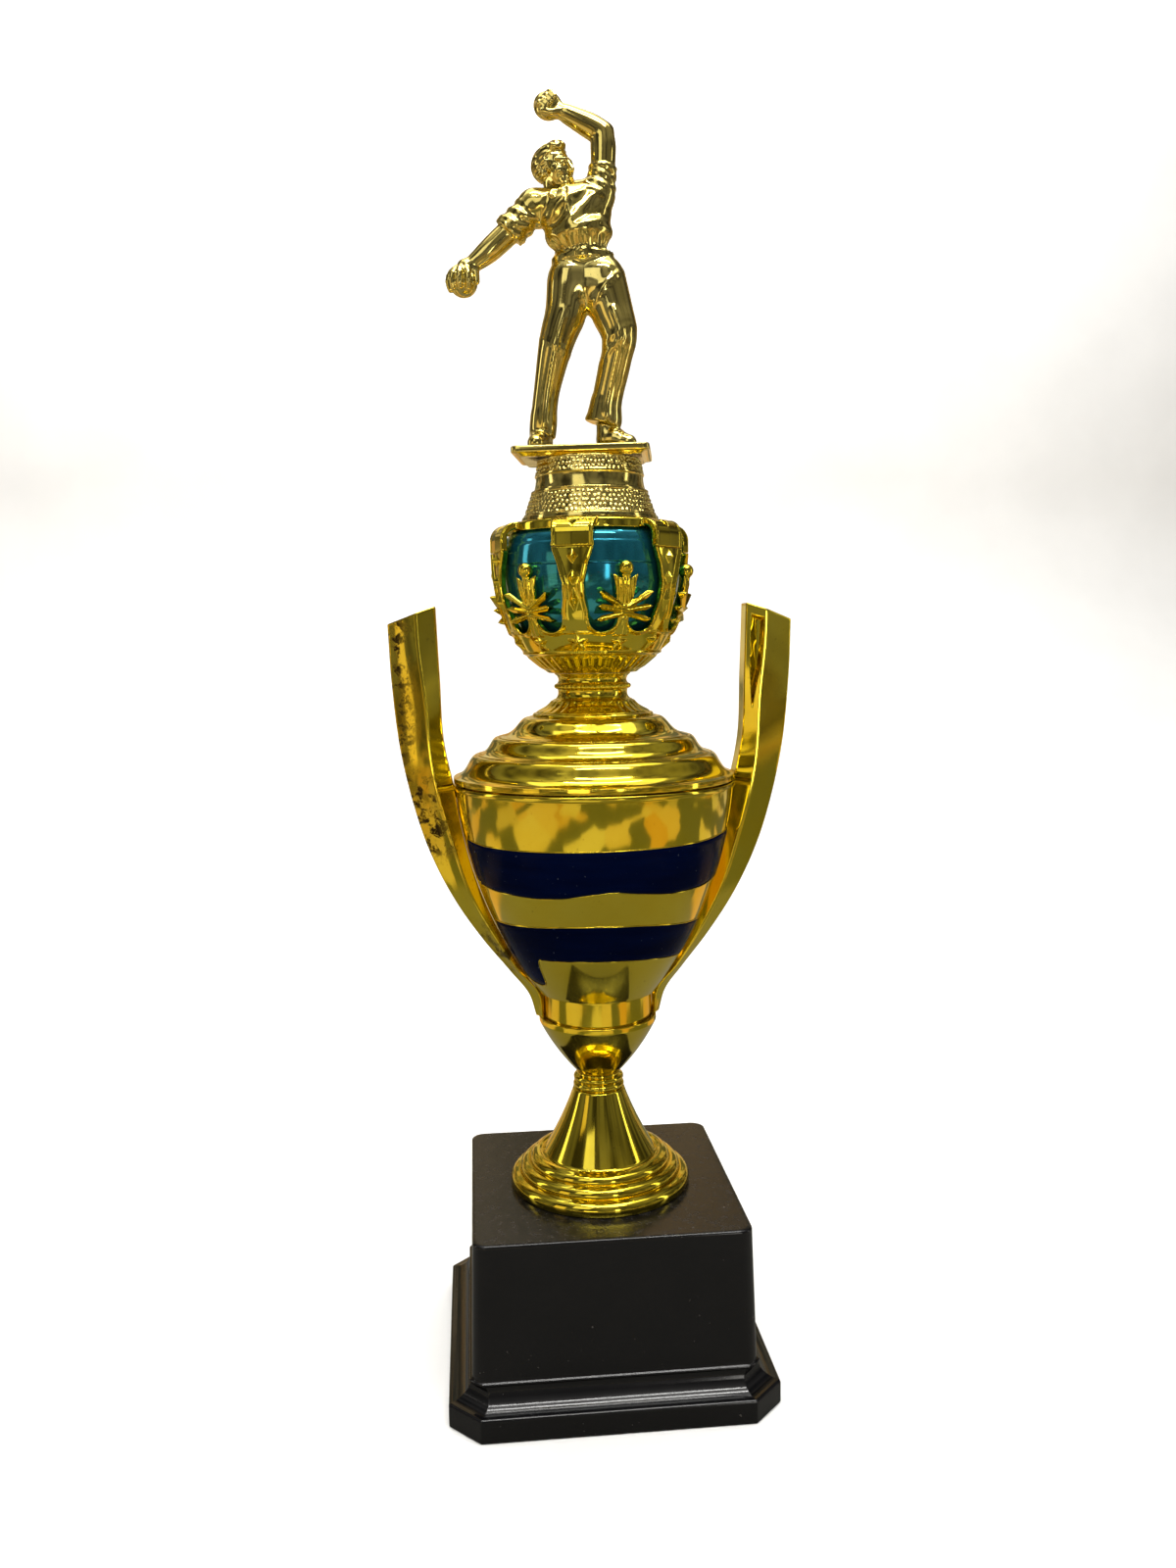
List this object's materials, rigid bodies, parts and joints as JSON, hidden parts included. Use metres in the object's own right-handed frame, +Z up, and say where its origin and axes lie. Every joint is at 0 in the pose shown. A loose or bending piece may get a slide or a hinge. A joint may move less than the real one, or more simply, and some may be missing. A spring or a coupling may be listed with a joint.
{
  "type": "bowling trophy",
  "caption": "Tall gold cup trophy on a black plinth, with horn-like handles, blue stripes and a lift-off lid carrying a basket, a riser and a bowler figure.",
  "frame": {"origin": "centre of the plinth's underside, on the axis of the cup", "axes": "+Z up along the cup's axis, front of the cup and of the figure towards -Y, handles along X"},
  "size_m": [0.168, 0.134, 0.526],
  "materials": {
    "black_plastic": "satin black moulded plastic",
    "gold_plating": "bright saturated gold metallised plastic",
    "pale_gold_plating": "bright pale gold metallised plastic",
    "teal_plating": "bright teal metallised plastic",
    "blue_film": "glossy navy film",
    "zinc_steel": "zinc plated",
    "ballast_iron": "raw casting"
  },
  "bodies": {
    "cup": {"base_shell": "black_plastic", "ballast_plate": "ballast_iron", "base_washer": "zinc_steel", "base_nut": "zinc_steel", "lower_rod": "zinc_steel", "foot": "gold_plating", "stem_collar": "gold_plating", "cup_socket": "gold_plating", "cup_bowl": "gold_plating", "cup_washer": "zinc_steel", "cup_nut": "zinc_steel", "stripe_films_front": "blue_film", "stripe_films_back": "blue_film", "handle_right": "gold_plating", "handle_left": "gold_plating"},
    "lid_assembly": {"lid": "gold_plating", "lid_washer": "zinc_steel", "lid_nut": "zinc_steel", "upper_rod": "zinc_steel", "neck_riser": "gold_plating", "cage_bowl": "gold_plating", "cage_crown": "gold_plating", "insert_lower": "teal_plating", "insert_upper": "teal_plating", "top_riser": "pale_gold_plating", "figure": "pale_gold_plating", "figure_nut": "zinc_steel"}
  },
  "joints": [
    {"name": "lid_lift", "type": "slide", "parent": "cup", "child": "lid_assembly", "axis": [0, 0, 1], "range_m": [0, 0.1]}
  ]
}
